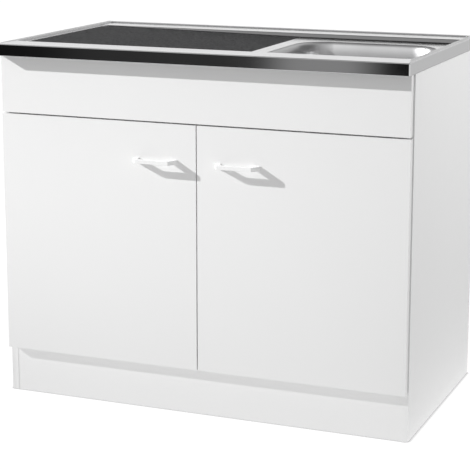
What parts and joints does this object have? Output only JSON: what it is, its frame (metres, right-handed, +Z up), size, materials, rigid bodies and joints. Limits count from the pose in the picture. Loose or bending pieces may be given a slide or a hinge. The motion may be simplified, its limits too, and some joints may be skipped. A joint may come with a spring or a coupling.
{
  "type": "kitchen sink unit",
  "caption": "White base cabinet with two hinged doors under a lay-on stainless sink with left drainer, right bowl, waste and trap.",
  "frame": {"origin": "on the floor, under the middle of the sink top", "axes": "+X to the right seen from the front, +Y towards the wall, +Z up"},
  "size_m": [1, 0.6, 0.85],
  "materials": {
    "white_board": "white melamine-faced board, satin",
    "white_plastic": "white moulded plastic",
    "steel_sheet": "pressed stainless sheet, silk rim and linen-patterned drainer",
    "stainless_part": "polished stainless",
    "zinc": "zinc or nickel plated",
    "beech": "beech, plain",
    "rubber_black": "black rubber",
    "pad_grey": "grey bitumen pad",
    "bumper_clear": "soft clear dot",
    "trap_white": "white polypropylene",
    "hose_grey": "grey ribbed hose"
  },
  "bodies": {
    "carcase": {"left_side_panel": "white_board", "right_side_panel": "white_board", "bottom_panel": "white_board", "plinth_board": "white_board", "front_rail": "white_board", "rear_top_rail": "white_board", "rear_bottom_rail": "white_board", "fascia_panel": "white_board", "fascia_spacers": "white_plastic", "fascia_screws": "zinc", "cam_discs": "zinc", "cam_bolts": "zinc", "dowels": "beech", "hinge_mounting_plates": "zinc", "hinge_plate_screws": "zinc", "hinge_arms": "zinc", "hinge_arm_screws": "zinc", "sink_top": "steel_sheet", "sink_bowl": "steel_sheet", "sink_brackets": "zinc", "sink_bracket_screws": "zinc", "drainer_battens": "beech", "bowl_sound_pad": "pad_grey", "drain_upper_gasket": "rubber_black", "drain_flange": "stainless_part", "drain_lower_gasket": "rubber_black", "drain_body": "trap_white", "drain_centre_screw": "stainless_part", "overflow_grille": "stainless_part", "overflow_elbow": "trap_white", "overflow_screw": "stainless_part", "overflow_pipe": "hose_grey", "trap_inlet_nut": "trap_white", "trap_washer": "rubber_black", "trap_inlet_tube": "trap_white", "trap_body": "trap_white", "trap_bottom_cup": "trap_white", "trap_outlet_nut": "trap_white", "waste_pipe": "trap_white"},
    "left_hinge_link_pair": {"left_hinge_links": "zinc"},
    "left_door_leaf": {"left_door": "white_board", "left_handle": "white_plastic", "left_handle_screws": "zinc", "left_door_bumpers": "bumper_clear", "left_hinge_cups": "zinc", "left_hinge_cup_screws": "zinc"},
    "right_hinge_link_pair": {"right_hinge_links": "zinc"},
    "right_door_leaf": {"right_door": "white_board", "right_handle": "white_plastic", "right_handle_screws": "zinc", "right_door_bumpers": "bumper_clear", "right_hinge_cups": "zinc", "right_hinge_cup_screws": "zinc"},
    "basket": {"strainer_basket": "stainless_part", "basket_seal": "rubber_black"}
  },
  "joints": [
    {"name": "left_hinge_link", "type": "hinge", "parent": "carcase", "child": "left_hinge_link_pair", "pos_m": [-0.4661, -0.2527, 0.397], "axis": [0, 0, 1], "range_deg": [0, 36.5]},
    {"name": "left_door_swing", "type": "hinge", "parent": "left_hinge_link_pair", "child": "left_door_leaf", "pos_m": [-0.4859, -0.2605, 0.397], "axis": [0, 0, -1], "range_deg": [0, 131.5]},
    {"name": "right_hinge_link", "type": "hinge", "parent": "carcase", "child": "right_hinge_link_pair", "pos_m": [0.4661, -0.2527, 0.397], "axis": [0, 0, -1], "range_deg": [0, 36.5]},
    {"name": "right_door_swing", "type": "hinge", "parent": "right_hinge_link_pair", "child": "right_door_leaf", "pos_m": [0.4859, -0.2605, 0.397], "axis": [0, 0, 1], "range_deg": [0, 131.5]},
    {"name": "basket_lift", "type": "slide", "parent": "carcase", "child": "basket", "axis": [0, 0, 1], "range_m": [0, 0.2]}
  ],
  "couplings": [
    {"joint": "left_hinge_link", "follows": "left_door_swing", "ratio": 0.27757},
    {"joint": "right_hinge_link", "follows": "right_door_swing", "ratio": 0.27757}
  ]
}
